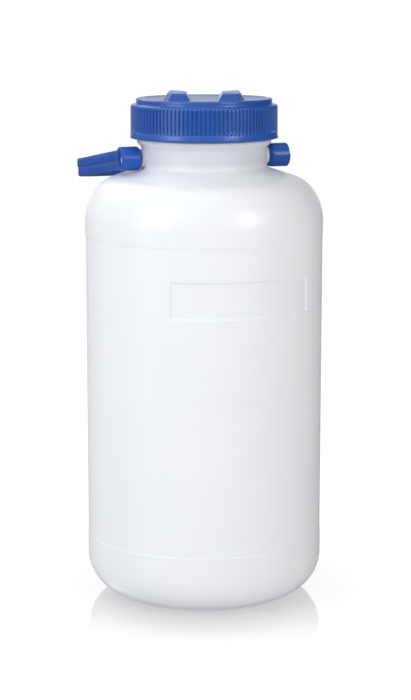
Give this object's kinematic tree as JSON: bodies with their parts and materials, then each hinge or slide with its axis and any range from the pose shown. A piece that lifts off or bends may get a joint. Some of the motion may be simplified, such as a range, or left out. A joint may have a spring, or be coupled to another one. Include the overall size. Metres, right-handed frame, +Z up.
{
  "type": "wide-mouth bottle",
  "caption": "Round wide-mouth plastic bottle with a ribbed screw cap, a sealing plug and a bail carrying handle that folds back behind the neck.",
  "frame": {"origin": "on the bottle's axis, in the plane that the bottle stands on", "axes": "+Z up along the bottle's axis; the moulded panel faces -Y, turned 3 degrees towards +X; the handle's pivot axis is parallel to X and the handle folds back towards +Y"},
  "size_m": [0.1606, 0.2059, 0.3423],
  "materials": {
    "bottle_white": "satin blow-moulded polyethylene",
    "plug_natural": "soft natural polyethylene",
    "cap_blue": "satin moulded polypropylene",
    "handle_blue": "satin moulded polypropylene"
  },
  "bodies": {
    "bottle": {"bottle": "bottle_white"},
    "plug": {"sealing_plug": "plug_natural"},
    "cap": {"screw_cap": "cap_blue"},
    "handle": {"carry_handle": "handle_blue"}
  },
  "joints": [
    {"name": "cap_lift", "type": "slide", "parent": "bottle", "child": "plug", "axis": [0, 0, 1], "range_m": [0, 0.012]},
    {"name": "cap_turn", "type": "hinge", "parent": "plug", "child": "cap", "pos_m": [0, 0, 0.3354], "axis": [0, 0, 1], "range_deg": [0, 720]},
    {"name": "handle_swing", "type": "hinge", "parent": "bottle", "child": "handle", "pos_m": [0, 0, 0.2991], "axis": [1, 0, 0], "range_deg": [-3, 198]}
  ],
  "couplings": [
    {"joint": "cap_lift", "follows": "cap_turn", "m_per_rad": 0.00095493}
  ]
}
